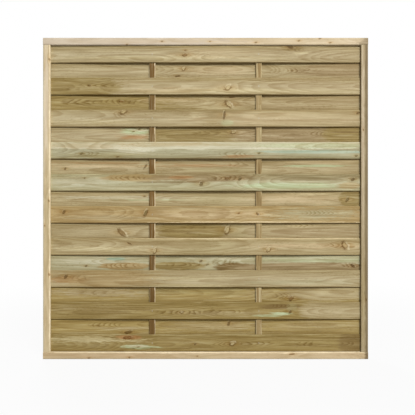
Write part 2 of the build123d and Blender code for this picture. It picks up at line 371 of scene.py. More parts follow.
        (-385, -20, 76, 15, "mint", 1.0, 0.8), (-330, -22, 80, 6, "mint", 0.8, 0.8),
        (-378, -18, 50, 7, "chalk", 0.8, 0.8), (-640, 20, 260, 20, "cream", 0.8),
        # The pale line along the top edge is a painted highlight.
        (-430, 32, 80, 12, "rust", 0.8, 0.5), (0, 45, 860, 4, "cream", 0.4),
        (820, 0, 90, 70, "brown", 0.7, 0.4),
    ], arches=[
        (250, -4, 60, 13, 40, 6, 1.0), (335, -4, 50, 13, 40, 6, 1.0), (555, -4, 60, 14, 40, -6, 1.0),
        (800, -4, 50, 13, 36, 6, 0.9), (90, -6, 60, 16, 30, -8, 0.8),
    ]),
]
# On every even slat: a painted shadow, the dark line under the slats in front where they lap over it
PAINTED_LAP_SHADOW = StainOrPaintedLight(0, 44, 2000, 9, "lap", 0.55, 0.4)

# The frame and the battens
TOP_RAIL = board("planed", 0.83, (8, 90), 4.0, 0.004, knots=[
    (-241, 0, 3.5, "dark knot", 3), (25, 0, 3, "red knot", 3), (279, -6, 4, "dark knot", 3),
    (517, 4, 4, "red knot", 3), (633, 16, 4, "dark knot", 3), (689, -6, 3.5, "red knot", 3),
    (-435, -16, 3, "dark knot", 3),
], stains=[
    (-300, 0, 500, 10, "blush", 0.3), (900, 0, 900, 60, "stile", 0.7, 0.6),
    (950, 0, 105, 200, "shadowed", 0.75),
], contrast=0.5, crown=0)
BOTTOM_RAIL = board("foot", 0.92, (-6, 82), 4.2, -0.005, knots=[
    (-645, -12, 3.5, "dark knot", 3), (-420, -8, 3.5, "dark knot", 3), (-45, -2, 3, "red knot", 3),
    (480, 10, 5, "red knot", 4, 3.0, 0.1),
], stains=[
    # The pale band on the top edge is a painted highlight.
    (200, 4, 600, 8, "blush", 0.5), (-500, 0, 300, 14, "rust", 0.2), (0, 21, 2000, 7, "pale wood or painted highlight", 0.9),
    (0, -19, 2000, 5, "drab", 0.5), (930, 0, 50, 200, "shadowed", 0.8, 0.3),
], contrast=0.6, crown=0)
LEFT_STILE = board("stile", 0.98, (6, 50), 4.4, 0.006, knots=[
    (770, -14, 4, "dark knot", 3), (-12, -12, 4, "dark knot", 3), (-420, -13, 4, "red knot", 3),
    (-150, 10, 3, "red knot", 3),
], stains=[
    (560, 4, 420, 16, "planed", 0.7), (-90, -4, 380, 18, "olive", 0.25),
    # The pale band on the inner edge is a painted highlight.
    (-640, 2, 250, 20, "blush", 0.8), (0, 17, 2000, 6, "drab", 0.6), (0, -21, 2000, 7, "pale wood or painted highlight", 0.95),
], contrast=0.6, crown=0)
RIGHT_STILE = board("stile", 0.66, (-10, 54), 4.2, 0.008, knots=[
    (-560, -6, 4, "red knot", 4), (380, 8, 3, "dark knot", 3),
], stains=[
    (400, 10, 600, 9, "planed", 0.35), (-560, 8, 300, 16, "olive", 0.5),
    (0, -26, 2000, 26, "shadowed", 0.66, 0.2), (0, 23, 2000, 5.4, "shadowed", 0.8, 0.35),
], contrast=0.6, crown=0)
LEFT_BATTEN = board("batten", 0.95, (4, 60), 4.0, 0.01, stains=[
    (500, 0, 330, 14, "brown", 0.5), (-650, 0, 420, 60, "shadowed", 0.35),
    # The pale band down the right edge is a painted highlight.
    (0, -17, 2000, 5, "pale wood or painted highlight", 0.8),
], contrast=1.0, crown=0)
RIGHT_BATTEN = board("honey", 0.86, (-4, 63), 4.0, 0.008, stains=[
    # The brown band down the left edge is painted shade on the side away from the lamp.
    (100, 0, 160, 10, "brown", 0.6), (0, 15, 2000, 6, "brown", 0.5), (-560, -6, 90, 6, "cream", 0.5),
    (420, -8, 120, 5, "cream", 0.5),
], contrast=1.2, crown=0)


# Numbers, nodes and groups

class Number:
    """A number that varies over a surface or along a piece. Its methods add Math nodes."""

    def __init__(self, tree, socket):
        self.tree = tree
        self.socket = socket

    def __neg__(self):
        return self * -1

    def squared(self):
        return self * self

    def bell(self):
        """1 where the number is nought, falling smoothly to nothing on both sides."""
        return (-self.squared()).exponential()

    def rise(self, start, end):
        """0 before start and 1 after end, smooth between them. It falls if end is the lower."""
        first, last = sorted((start, end))
        eased = Number(self.tree, outcome(
            self.tree, "ShaderNodeMapRange", {"interpolation_type": "SMOOTHSTEP"}, value=self,
            from_min=first, from_max=last))
        return eased if start < end else 1 - eased


def math_method(operation, turned=False):
    """A method of Number that adds one Math node, with the number last if it is turned."""
    def method(self, *others):
        node = self.tree.nodes.new("ShaderNodeMath")
        node.operation = operation
        for port, value in zip(node.inputs, (*others, self) if turned else (self, *others)):
            join(self.tree, value, port)
        return Number(self.tree, node.outputs["Value"])
    return method


for name, operation in {"add": "ADD", "sub": "SUBTRACT", "mul": "MULTIPLY", "truediv": "DIVIDE"}.items():
    setattr(Number, f"__{name}__", math_method(operation))
    setattr(Number, f"__r{name}__", math_method(operation, True))
for name, operation in {
    "root": "SQRT", "fraction": "FRACT", "rounded": "ROUND", "at_least": "MAXIMUM", "at_most": "MINIMUM",
    "size": "ABSOLUTE", "sign": "SIGN", "sine": "SINE", "cosine": "COSINE", "exponential": "EXPONENT",
}.items():
    setattr(Number, name, math_method(operation))


def join(tree, value, port):
    """Feeds a node's input from a number that varies, a socket or a plain value."""
    if isinstance(value, Number):
        value = value.socket
    if isinstance(value, bpy.types.NodeSocket):
        tree.links.new(value, port)
    else:
        port.default_value = value


def outcome(tree, kind, settings=None, **inputs):
    """Adds a node and gives its first output in use. An input's name is its socket's, in lower case
    and with underscores for spaces."""
    node = tree.nodes.new(kind)
    for name, value in (settings or {}).items():
        setattr(node, name, value)
    ports = {port.name.lower().replace(" ", "_"): port for port in node.inputs if port.enabled}
    for name, value in inputs.items():
        join(tree, value, ports[name])
    return next(port for port in node.outputs if port.enabled)


def by_name(tree, ports):
    """Sockets as one object's attributes, numbers among them as Numbers."""
    return SimpleNamespace(**{
        port.name: Number(tree, port) if port.type in ("VALUE", "INT") else port
        for port in ports if port.name
    })


def split(tree, vector):
    """The three parts of a vector."""
    node = tree.nodes.new("ShaderNodeSeparateXYZ")
    join(tree, vector, node.inputs["Vector"])
    return [Number(tree, port) for port in node.outputs]


def combine(tree, x, y, z):
    return outcome(tree, "ShaderNodeCombineXYZ", x=x, y=y, z=z)


def blend(tree, factor, below, above, how="MIX"):
    """One colour over another, by a factor from 0 to 1."""
    settings = {"data_type": "RGBA", "blend_type": how}
    return outcome(tree, "ShaderNodeMix", settings, factor=factor, a=below, b=above)


def tint(tree, factor, colour, shade):
    """A colour multiplied by a shade, by a factor from 0 to 1."""
    return blend(tree, factor, colour, shade, "MULTIPLY")


def grain_noise(tree, place, along, across, detail=2.0, shift=0.0):
    """Noise from 0 to 1 whose lumps have one length along the grain and another across it, in
    millimetres. Another shift reads another part of the noise."""
    x, y, z = split(tree, place)
    point = combine(tree, x / along + shift, y / across + shift, z / across)
    return Number(tree, outcome(tree, "ShaderNodeTexNoise", vector=point, scale=1.0, detail=detail,
                                roughness=0.55))


def socket_type(value):
    """The kind of socket that suits a default value. A kind's own name stands for no default."""
    if isinstance(value, str):
        return value
    if isinstance(value, tuple):
        return "NodeSocketColor" if len(value) == 4 else "NodeSocketVector"
    return "NodeSocketInt" if isinstance(value, int) else "NodeSocketFloat"


def new_group(title, kind="ShaderNodeTree", **inputs):
    """A node group with named inputs. Gives its tree and what the inputs carry."""
    tree = bpy.data.node_groups.new(title, kind)
    for name, value in inputs.items():
        socket = tree.interface.new_socket(name, in_out="INPUT", socket_type=socket_type(value))
        if not isinstance(value, str):
            socket.default_value = value
    return tree, by_name(tree, tree.nodes.new("NodeGroupInput").outputs)


def give(tree, **outputs):
    """Names a group's outputs and feeds them."""
    for name, value in outputs.items():
        kind = "NodeSocketFloat" if isinstance(value, Number) else value.bl_idname
        tree.interface.new_socket(name, in_out="OUTPUT", socket_type=kind)
    node = tree.nodes.new("NodeGroupOutput")
    for name, value in outputs.items():
        join(tree, value, node.inputs[name])
    return tree


def place_group(tree, group, **inputs):
    """Places a shader group and gives its outputs. Values that it has no socket for are left out."""
    node = tree.nodes.new("ShaderNodeGroup")
    node.node_tree = groups[group]
    for port in node.inputs:
        if port.name in inputs:
            join(tree, inputs[port.name], port)
    return by_name(tree, node.outputs)


GEOMETRY_GROUP = "GeometryNodeTree"
NOWHERE = (0.0, 0.0, 0.0)
GREY = (0.5, 0.5, 0.5, 1.0)


# Shader groups that the timber and the metals share. Place is in millimetres: along, depth, across.

def swell_group():
    """Lifts the growth rings over one stretch, which draws nested arches on the face."""
    tree, given = new_group("ring swell", place=NOWHERE, along=0.0, length=100.0, lift=10.0)
    x, y, z = split(tree, given.place)
    lift = given.lift * ((x - given.along) / given.length).bell()
    return give(tree, place=combine(tree, x, y - lift, z))


def knot_group():
    """A knot: the grain parts round it and rises towards it. It has a ringed body, a dark edge, heavier
    on one side as painted shade, a painted highlight on the other, and a halo drawn out along the grain."""
    tree, given = new_group("knot", place=NOWHERE, along=0.0, across=0.0, radius=8.0, lift=9.0,
                            stretch=1.4, slant=0.5)
    x, y, z = split(tree, given.place)
    radius = given.radius
    beside, above = x - given.along, z - given.across
    cosine, sine = given.slant.cosine(), given.slant.sine()
    lengthways = (beside * cosine + above * sine) / given.stretch
    sideways = above * cosine - beside * sine
    ragged = grain_noise(tree, given.place, 13, 6, 3.0)
    straight = (lengthways.squared() + sideways.squared()).root()
    # From 0 in the middle of the knot to about 1 at its edge, which wavers
    distance = straight * (0.35 + 1.3 * ragged) / radius
    flow = ((beside * 0.25).squared() + above.squared()).at_least((radius * 0.9).squared())
    parted = combine(tree, x, y, z - above * radius.squared() * 1.8 / flow)
    lifted = place_group(tree, "swell", place=parted, along=given.along, length=radius * 14 + 60,
                         lift=given.lift)
    facing = (sideways * 0.8 + lengthways * 0.6) / straight.at_least(0.5)
    drawn_out = ((beside / 3.2).squared() + above.squared()).root()
    return give(
        tree,
        place=lifted.place,
        body=distance.rise(1.1, 0.5),
        rings=(distance * 1.7 + ragged * 1.4).fraction().rise(0.4, 0.95) * distance.rise(2.3, 0.9),
        # The edge is darkest on one side as painted shade, and the gleam is a painted highlight on the
        # other
        edge=distance.rise(0.6, 0.9) * distance.rise(1.4, 1.05) * (0.1 + 0.9 * facing.rise(0.6, -0.5)),
        gleam=distance.rise(0.8, 1.05) * distance.rise(1.6, 1.15) * facing.rise(0.1, 0.9),
        halo=(drawn_out / (radius * 1.5)).bell(),
    )


def stain_group():
    """A soft uneven patch, stretched along the grain."""
    tree, given = new_group("stain", place=NOWHERE, along=0.0, across=0.0, half_length=100.0,
                            half_height=12.0, soft=1.0)
    x, _, z = split(tree, given.place)
    grain = partial(grain_noise, tree, given.place)
    ragged = grain(110, 8, 4.0) * 0.55 + grain(26, 3.4, 3.0, 5.2) * 0.45
    broken = grain(60, 3.2, 2.0, 8.3).rise(0.3, 0.62)
    reach = (((x - given.along) / given.half_length).squared()
             + ((z - given.across) / given.half_height).squared()).root()
    # The patch ends in tongues along the grain, shorter ones if it is less soft
    patch = ((1 - reach) / given.soft - (ragged - 0.5) * 4.0).rise(-0.3, 0.55)
    return give(tree, mask=patch * (1 - (1 - broken) * given.soft * 0.45))


def arch_group():
    """Nested arches that point along the grain, as rings do where the saw leaves them."""
    tree, given = new_group("arches", place=NOWHERE, along=0.0, across=0.0, half_length=80.0,
                            half_height=14.0, spacing=20.0, flatness=2.0)
    x, _, z = split(tree, given.place)
    grain = partial(grain_noise, tree, given.place)
    waver = grain(60, 9, 2.0, 6.1) - 0.5
    uneven = grain(90, 30, 1.0, 9.4) - 0.5
    beside = x - given.along
    above = z - given.across + waver * 7
    place = (beside + above.squared() / given.flatness) / given.spacing + waver * 0.8 + uneven * 2.4
    phase = place.fraction()
    near = ((beside / given.half_length).squared() + (above / given.half_height).squared()).root()
    return give(tree, mask=phase.rise(0.3, 0.85) * phase.rise(1.0, 0.9) * near.rise(1.2, 0.5))


def worn_and_highlit_edge_group():
    """Paler arrises in stretches: partly wear, partly a painted highlight along the rounded edges."""
    tree, given = new_group("rubbed edge", place=NOWHERE, half_width=46.0, half_depth=0.0, reach=3.0)
    _, y, z = split(tree, given.place)
    inwards = (given.half_width - z.size()).at_least(given.half_depth - y.size())
    stretches = grain_noise(tree, given.place, 150, 60, 2.0, 2.6).rise(0.42, 0.62)
    return give(tree, mask=(inwards / given.reach).rise(1.0, 0.3) * stretches)


def crown_group():
    """Painted shade: darker towards a slat's two edges, as on a rounded board, and a painted shadow,
    darkest under its foot.
    """
    tree, given = new_group("crown", place=NOWHERE, half_width=46.0)
    _, _, z = split(tree, given.place)
    waver = grain_noise(tree, given.place, 240, 30, 2.0, 4.4) - 0.5
    from_brightest = (z / given.half_width + 0.14 + waver * 0.5).size()
    # shade is the painted shade towards the edges, foot the painted shadow along the lower edge
    return give(tree, shade=from_brightest.rise(0.0, 1.1), foot=(z + given.half_width).rise(4.0, 0.8))


def figure_group():
    """The figure of flat-sawn pine, cut from a trunk whose pith lies behind the face."""
    tree, given = new_group("pine figure", place=NOWHERE, pith_across=0.0, pith_depth=45.0, taper=0.01,
                            ring_width=5.0, seed=0.0)
    x, y, z = split(tree, given.place)
    seed = given.seed
    grain = partial(grain_noise, tree, combine(tree, x + seed * 1370, y + seed * 31, z + seed * 53))
    wander = grain(700, 110, 1.0) - 0.5
    drift = grain(560, 100, 1.0, 7.3) - 0.5
    ripple = grain(120, 9, 3.0, 3.1) - 0.5
    # How far the face is from the pith, whose line wanders as a trunk's does
    radius = ((z - given.pith_across + wander * 24).squared()
              + (y - given.pith_depth + x * given.taper + drift * 18).squared()).root()
    uneven = Number(tree, outcome(tree, "ShaderNodeTexNoise", {"noise_dimensions": "1D"},
                                  w=radius / 13 + seed, scale=1.0, detail=1.0))
    # 0 where a ring starts, 1 at its dark edge
    phase = ((radius + ripple * 2.4) / given.ring_width + uneven * 2.2).fraction()
    return give(
        tree,
        ring=phase.rise(0.15, 0.9) * phase.rise(1.0, 0.93),
        streak=grain(250, 8, 4.0, 11.7),
        cloud=grain(330, 20, 4.0, 5.9),
        fibre=grain(30, 1.2, 3.0, 2.2),
        fleck=grain(17, 4.5, 2.0, 13.3).rise(0.54, 0.68) * grain(240, 34, 1.0, 17.1).rise(0.42, 0.6),
    )


def treated_pine_group():
    """Colour, roughness and height of planed pine that has been pressure-treated."""
    tree, given = new_group("treated pine", tone=GREY, ring=0.0, streak=0.5, cloud=0.5, fibre=0.5,
                            fleck=0.0, contrast=1.0)
    colour = given.tone
    for name, mask, shade, how in (
        ("rings", given.ring, RING_EDGE, "MULTIPLY"),
        ("streaks", given.streak.rise(0.42, 0.72), STREAK_SHADE, "MULTIPLY"),
        ("clouds", given.cloud.rise(0.42, 0.68), STREAK_SHADE, "MULTIPLY"),
        ("pale streaks", given.streak.rise(0.5, 0.3), linear("cream"), "MIX"),
        ("flecks", given.fleck, STREAK_SHADE, "MULTIPLY"),
        ("fibres", given.fibre.rise(0.45, 0.75), STREAK_SHADE, "MULTIPLY"),
    ):
        colour = blend(tree, mask * given.contrast * STRENGTHS[name], colour, shade, how)
    return give(
        tree,
        colour=colour,
        roughness=0.72 - given.ring * 0.10 + (given.fibre - 0.5) * 0.15,
        height=given.ring * 0.35 + given.fibre * 0.5,
    )


def worn_metal_group():
    """Dull blotches and fine scratches on zinc and on galvanised wire."""
    tree, given = new_group("worn metal", place=NOWHERE, bright=GREY, dull=GREY, polish=0.35)
    blotch = grain_noise(tree, given.place, 1.6, 1.6, 3.0)
    scratch = grain_noise(tree, given.place, 0.15, 2.5, 2.0, 4.0)
    return give(
        tree,
        colour=blend(tree, blotch.rise(0.35, 0.7), given.bright, given.dull),
        roughness=given.polish + blotch * 0.25 + scratch * 0.1,
        height=scratch,
    )


def linear(tone, shade=1.0):
    """A named tone as the linear colour that a shader takes."""
    return (*[shade * ((part / 255 + 0.055) / 1.055) ** 2.4 for part in TONES[tone]], 1.0)


def new_material(name):
    """A material with nothing but its shader. Gives the material, its tree and the shader's inputs."""
    material = bpy.data.materials.new(name)
    material.use_nodes = True
    tree = material.node_tree
    return material, tree, tree.nodes["Principled BSDF"].inputs


def in_millimetres(tree, moved=NOWHERE, turn=0.0):
    """Places on the object in millimetres, turned about the depth axis and moved."""
    coordinates = tree.nodes.new("ShaderNodeTexCoord")
    return outcome(tree, "ShaderNodeMapping", vector=coordinates.outputs["Object"], scale=(1 / MM,) * 3,
                   location=[part / MM for part in moved], rotation=(0.0, turn, 0.0))


def dress(tree, ports, look, strength, distance):
    """Feeds a shader's colour and roughness, and its height as a bump."""
    join(tree, look.colour, ports["Base Color"])
    join(tree, look.roughness, ports["Roughness"])
    bump = outcome(tree, "ShaderNodeBump", strength=strength, distance=distance, height=look.height)
    join(tree, bump, ports["Normal"])


def timber_material(node, timber, seed, upright=False, deep=False):
    """Treated pine laid out along one piece: its own tone, rings, knots and patches. A deep piece is paler
    at its arrises alone, and a thin one over the whole of its edges, partly as wear, partly as a painted
    highlight."""
    low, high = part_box(node)
    centre = (low + high) / 2
    half_width = ((high.x - low.x) if upright else (high.z - low.z)) / 2 / MM
    half_depth = (high.y - low.y) / 2 / MM if deep else 0.0
    material, tree, ports = new_material(node + "_pine")
    if upright:
        laid = in_millimetres(tree, (-centre.z, 0.0, centre.x), math.pi / 2)
    else:
        laid = in_millimetres(tree, (-centre.x, 0.0, -centre.z))
    place = laid
    knots = []
    for knot in timber.knots:
        parts = place_group(tree, "knot", place=place, **knot._asdict())
        place = parts.place
        knots.append((knot, parts))
    for swell in timber.swells:
        place = place_group(tree, "swell", place=place, **swell._asdict()).place
    figure = place_group(tree, "figure", place=place, pith_across=timber.pith[0],
                         pith_depth=timber.pith[1], taper=timber.taper, ring_width=timber.rings, seed=seed)
    tone = linear(timber.tone, timber.shade)
    for stain in timber.stains:
        mask = place_group(tree, "stain", place=laid, **stain._asdict()).mask
        tone = blend(tree, mask * stain.strength, tone, linear(stain.tone))
    for knot, parts in knots:
        tone = tint(tree, parts.halo * STRENGTHS["halo"], tone, HALO_SHADE)
    # Paler edges: partly wear, partly a painted highlight
    worn_and_highlit = place_group(tree, "rubbed edge", place=laid, half_width=half_width, half_depth=half_depth)
    tone = blend(tree, worn_and_highlit.mask * STRENGTHS["rubbed edge"], tone, linear("cream"))
    look = place_group(tree, "pine", tone=tone, contrast=timber.contrast, **vars(figure))
    colour = look.colour
    for arch in timber.arches:
        mask = place_group(tree, "arch", place=laid, **arch._asdict()).mask
        colour = tint(tree, mask * arch.strength * STRENGTHS["arches"], colour, RING_EDGE)
    for knot, parts in knots:
        colour = blend(tree, parts.body * STRENGTHS["knot body"], colour, linear(knot.tone))
        colour = tint(tree, parts.rings * STRENGTHS["knot rings"], colour, KNOT_EDGE)
        # A painted highlight on one side of the knot, and painted shade along the other
        colour = blend(tree, parts.gleam * knot.gleam, colour, linear("gleam"))
        colour = tint(tree, parts.edge * STRENGTHS["knot rim and painted shade"], colour, KNOT_EDGE)
    # Painted shade towards the slat's edges, and a painted shadow under its foot
    if timber.crown:
        crown = place_group(tree, "crown", place=laid, half_width=half_width)
        colour = tint(tree, crown.shade * timber.crown, colour, CROWN_PAINTED_SHADE)
        colour = tint(tree, crown.foot * STRENGTHS["foot"], colour, FOOT_PAINTED_SHADOW)
    look.colour = colour
    ports["Specular IOR Level"].default_value = WOOD_SHINE
    dress(tree, ports, look, *WOOD_BUMP)
    return material


def metal_material(name, bright, dull, polish):
    """Zinc or galvanised wire with dull blotches."""
    material, tree, ports = new_material(name)
    look = place_group(tree, "metal", place=in_millimetres(tree), bright=bright, dull=dull, polish=polish)
    ports["Metallic"].default_value = 1.0
    dress(tree, ports, look, *METAL_BUMP)
    return material


# Meshes

def new_object(name, data):
    thing = bpy.data.objects.new(name, data)
    bpy.context.scene.collection.objects.link(thing)
    return thing


def new_mesh(name, shape):
    """A mesh from a bmesh, which it uses up."""
    mesh = bpy.data.meshes.new(name)
    shape.to_mesh(mesh)
    shape.free()
    return mesh


def finish_piece(name, mesh, material, slot, *nodes):
    """Makes a mesh a piece that rides on the panel and stands for its CAD nodes."""
    shape = bmesh.new()
    shape.from_mesh(mesh)
    bmesh.ops.recalc_face_normals(shape, faces=shape.faces)
    shape.to_mesh(mesh)
    shape.free()
    mesh.materials.clear()
    mesh.materials.append(material)
    mesh.shade_smooth()
    mesh.set_sharp_from_angle(angle=math.radians(SHARP_ANGLE))
    piece = new_object(name, mesh)
    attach(piece, BODY)
    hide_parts(*nodes)


def corner(centre, radius, start, steps):
    """A quarter circle of points, anticlockwise from a start angle in degrees."""
    angles = [math.radians(start + 90 * step / steps) for step in range(steps + 1)]
    return [(centre[0] + radius * math.cos(a), centre[1] + radius * math.sin(a)) for a in angles]


def eased_section(width, height, arris, groove=None, steps=8, flats=5):
    """A rectangle with rounded corners, and if need be a groove in the middle of its lower side."""
    right, top = width / 2 - arris, height / 2 - arris
    rounds = [corner(centre, arris, start, steps) for centre, start in (
        ((right, -top), -90), ((right, top), 0), ((-right, top), 90), ((-right, -top), 180))]
    points = []
    for arc, following in zip(rounds, rounds[1:]):
        points += arc
        (x0, y0), (x1, y1) = arc[-1], following[0]
        for flat in range(1, flats + 1):
            share = flat / (flats + 1)
            points.append((x0 + (x1 - x0) * share, y0 + (y1 - y0) * share))
    points += rounds[-1]
    if groove:
        mouth, floor = groove[0] / 2, groove[1] - height / 2
        points += [(-mouth, -height / 2), (-mouth, floor), (mouth, floor), (mouth, -height / 2)]
    return points


def inset(section, amount):
    """A closed outline moved inwards by one amount all round."""
    moved = []
    for index, (x, y) in enumerate(section):
        before, after = section[index - 1], section[(index + 1) % len(section)]
        first = Vector((x - before[0], y - before[1])).normalized()
        second = Vector((after[0] - x, after[1] - y)).normalized()
        across = Vector((-first.y - second.y, first.x + second.x)).normalized()
        moved.append((x + across.x * amount, y + across.y * amount))
    return moved


def skin(name, rows, tips=None):
    """A closed mesh over rings of places, with flat ends or with its ends drawn to two tips."""
    shape = bmesh.new()
    rings = [[shape.verts.new(place) for place in row] for row in rows]
    for ring, following in zip(rings, rings[1:]):
        for step, vert in enumerate(ring):
            beside = (step + 1) % len(ring)
            shape.faces.new((vert, ring[beside], following[beside], following[step]))
    if tips:
        for ring, tip in zip((rings[0], rings[-1]), [shape.verts.new(place) for place in tips]):
            for step, vert in enumerate(ring):
                shape.faces.new((tip, vert, ring[(step + 1) % len(ring)]))
    else:
        shape.faces.new(rings[0])
        shape.faces.new(reversed(rings[-1]))
    bmesh.ops.recalc_face_normals(shape, faces=shape.faces)
    return new_mesh(name, shape)


def swept_bar(name, section, start, end, lay, seed, unevenness):
    """A bar of one section from start to end. lay turns (along, across, up) into a place."""
    stations = max(2, round((end - start) / BAR_STATION))
    places = [start, start + SAWN_EDGE]
    places += [start + (end - start) * step / stations for step in range(1, stations)]
    places += [end - SAWN_EDGE, end]
    cut = inset(section, SAWN_EDGE)
    rows = []
    for number, along in enumerate(places):
        row = []
        for x, y in cut if number in (0, len(places) - 1) else section:
            probe = Vector((along * BAR_LUMPS[0] + seed, x * BAR_LUMPS[1], y * BAR_LUMPS[1]))
            shrink = 1 - unevenness * (0.5 + 0.5 * noise.noise(probe))
            row.append(lay(along, x * shrink, y * shrink))
        rows.append(row)
    return skin(name, rows)


def lathe(name, profile, segments, lay, thread=None):
    """A turned piece from (radius, height) points whose ends lie on the axis."""
    rows = []
    for radius, height in profile[1:-1]:
        row = []
        for step in range(segments):
            turn = 2 * math.pi * step / segments
            grown = radius + (thread(turn, radius, height) if thread else 0.0)
            row.append(lay(grown * math.cos(turn), grown * math.sin(turn), height))
        rows.append(row)
    return skin(name, rows, [lay(0.0, 0.0, height) for radius, height in (profile[0], profile[-1])])


def carve(mesh, tools, operation):
    """Cuts other meshes out of a mesh, or joins them to it."""
    block = new_object("block", mesh)
    helpers = [new_object(f"tool_{number}", tool) for number, tool in enumerate(tools)]
    for helper in helpers:
        modifier = block.modifiers.new("carve", "BOOLEAN")
        modifier.operation = operation
        modifier.solver = "EXACT"
        modifier.object = helper
    carved = evaluated_mesh(block, mesh.name)
    for helper in (block, *helpers):
        bpy.data.objects.remove(helper)
    return carved


def evaluated_mesh(thing, name):
    """An object's mesh with its modifiers made real."""
    bpy.context.view_layer.update()
    graph = bpy.context.evaluated_depsgraph_get()
    mesh = bpy.data.meshes.new_from_object(thing.evaluated_get(graph))
    mesh.name = name
    return mesh


def grown_mesh(title, group, **values):
    """The mesh that a Geometry Nodes tree grows from its named inputs."""
    holder = new_object(title, bpy.data.meshes.new(title))
    modifier = holder.modifiers.new("grow", "NODES")
    modifier.node_group = group
    for item in group.interface.items_tree:
        if item.in_out == "INPUT" and item.name in values:
            modifier[item.identifier] = values[item.name]
    mesh = evaluated_mesh(holder, title)
    bpy.data.objects.remove(holder)
    return mesh


# Geometry Nodes

def field_noise(tree, point):
    return Number(tree, outcome(tree, "ShaderNodeTexNoise", vector=point, scale=1.0, detail=1.0))


def finished(tree, geometry, material):
    """Ends a tree with its geometry made real and its material set."""
    whole = outcome(tree, "GeometryNodeRealizeInstances", geometry=geometry)
    return give(tree, geometry=outcome(tree, "GeometryNodeSetMaterial", geometry=whole, material=material))


def bowed_slat_tree():
    """One slat: an eased board swept along a line, bowed over the battens and left a little uneven."""
    tree, given = new_group(
        "bowed slat", GEOMETRY_GROUP, length=1.7, width=0.1, thickness=0.006, edge=0.0015, end_height=0.0,
        rise=0.007, side=-1.0, middle=1.0, uneven_edge=0.001, uneven_face=0.0003, seed=0.0,
        timber="NodeSocketMaterial")
    half_length = given.length / 2
    line = outcome(tree, "GeometryNodeCurvePrimitiveLine", start=combine(tree, -half_length, 0.0, 0.0),
                   end=combine(tree, half_length, 0.0, 0.0))
    stations = outcome(tree, "GeometryNodeResampleCurve", curve=line, count=SLAT_STATIONS)
    circle = outcome(tree, "GeometryNodeCurvePrimitiveCircle", resolution=SLAT_SECTION_POINTS, radius=1.0)
    cosine, sine, _ = split(tree, outcome(tree, "GeometryNodeInputPosition"))
    half_thickness = given.thickness / 2 - given.edge
    half_width = given.width / 2 - given.edge
    through, upward = [
        (part * given.width).at_most(limit).at_least(-limit) + part * given.edge
        for part, limit in ((cosine, half_thickness), (sine, half_width))
    ]
    section = outcome(tree, "GeometryNodeSetPosition", geometry=circle,
                      position=combine(tree, through, upward, 0.0))
    bare = outcome(tree, "GeometryNodeCurveToMesh", curve=stations, profile_curve=section, fill_caps=True)
    x, y, z = split(tree, outcome(tree, "GeometryNodeInputPosition"))
    top_or_foot, front_or_back = z.sign(), y.sign()
    along_edge = combine(tree, x * SLAT_EDGE_LUMPS, top_or_foot * EDGES_APART, given.seed)
    over_face = combine(tree, x * SLAT_FACE_LUMPS[0], z * SLAT_FACE_LUMPS[1],
                        front_or_back * FACES_APART + given.seed)
    towards_edge = (z / half_width).squared()
    trimmed = z - top_or_foot * given.uneven_edge * field_noise(tree, along_edge) * towards_edge
    planed = y - front_or_back * given.uneven_face * field_noise(tree, over_face)
    height = given.end_height + given.thickness / 2 + given.rise * (1 - (x / half_length).squared())
    laid = combine(tree, x, planed + height * given.side, trimmed + given.middle)
    bowed = outcome(tree, "GeometryNodeSetPosition", geometry=bare, position=laid)
    return finished(tree, bowed, given.timber)


def fixings_tree():
    """One fixing placed over a grid of rows and columns, every second row turned to the other side."""
    tree, given = new_group(
        "fixings on a grid", GEOMETRY_GROUP, fixing="NodeSocketObject", columns=2, rows=2, column_gap=1.0,
        row_gap=1.0, middle=1.0, seat=0.0, turned_over=0.0, metal="NodeSocketMaterial")
    grid = outcome(tree, "GeometryNodeMeshGrid", vertices_x=given.columns, vertices_y=given.rows,
                   size_x=given.column_gap * (given.columns - 1), size_y=given.row_gap * (given.rows - 1))
    x, y, _ = split(tree, outcome(tree, "GeometryNodeInputPosition"))
    index = Number(tree, outcome(tree, "GeometryNodeInputIndex"))
    row = (index / given.rows).fraction() * given.rows
    turned = ((row.rounded() / 2).fraction() * 2).rounded()
    places = outcome(tree, "GeometryNodeSetPosition", geometry=grid,
                     position=combine(tree, x, given.seat * (turned * 2 - 1), y + given.middle))
    turn = combine(tree, (1 - turned) * given.turned_over, 0.0, turned * (math.pi - given.turned_over))
    fixing = tree.nodes.new("GeometryNodeObjectInfo")
    join(tree, given.fixing, fixing.inputs["Object"])
    copies = outcome(tree, "GeometryNodeInstanceOnPoints", points=places, rotation=turn,
                     instance=fixing.outputs["Geometry"])
    return finished(tree, copies, given.metal)


# The pieces

def make_rail(node, timber, outward, seed):
    """A rail across the full width, grooved on its inner side, with its screw holes."""
    low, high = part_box(node)
    middle = ((low + high) / 2).z
    section = eased_section(high.y - low.y, high.z - low.z, FRAME_ARRIS, (RAIL_GROOVE, GROOVE_DEPTH))

    def lay(along, across, up):
        return (along, across * outward, middle + up * outward)

    mesh = swept_bar(node, section, low.x, high.x, lay, seed, FRAME_UNEVEN)
    outer = middle + outward * (high.z - low.z) / 2
    tools = [screw_hole(side * screw_offset(), outer, outward) for side in (-1, 1)]
    mesh = carve(mesh, tools, "DIFFERENCE")
    finish_piece(node + "_bar", mesh, timber_material(node, timber, seed, deep=True), "frame_wood", node)


def screw_offset():
    """How far the corner screws stand from the panel's middle."""
    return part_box("corner_screws")[1].x - SCREW_HEAD / 2


def screw_hole(x, outer, outward):
    """A countersunk hole right through a rail, as a cutting tool."""
    head, shank = SCREW_HEAD / 2 + HOLE_PLAY, SCREW_SHANK / 2 + HOLE_PLAY
    profile = [
        (0, HOLE_OVERRUN), (head + HOLE_OVERRUN + SCREW_SINK, HOLE_OVERRUN), (head + SCREW_SINK, 0.0),
        (shank, -(head - shank) - SCREW_SINK), (shank, -HOLE_DEPTH), (0, -HOLE_DEPTH),
    ]
    return lathe("hole", profile, HOLE_SEGMENTS, lambda a, b, height: (x + a, b, outer + height * outward))


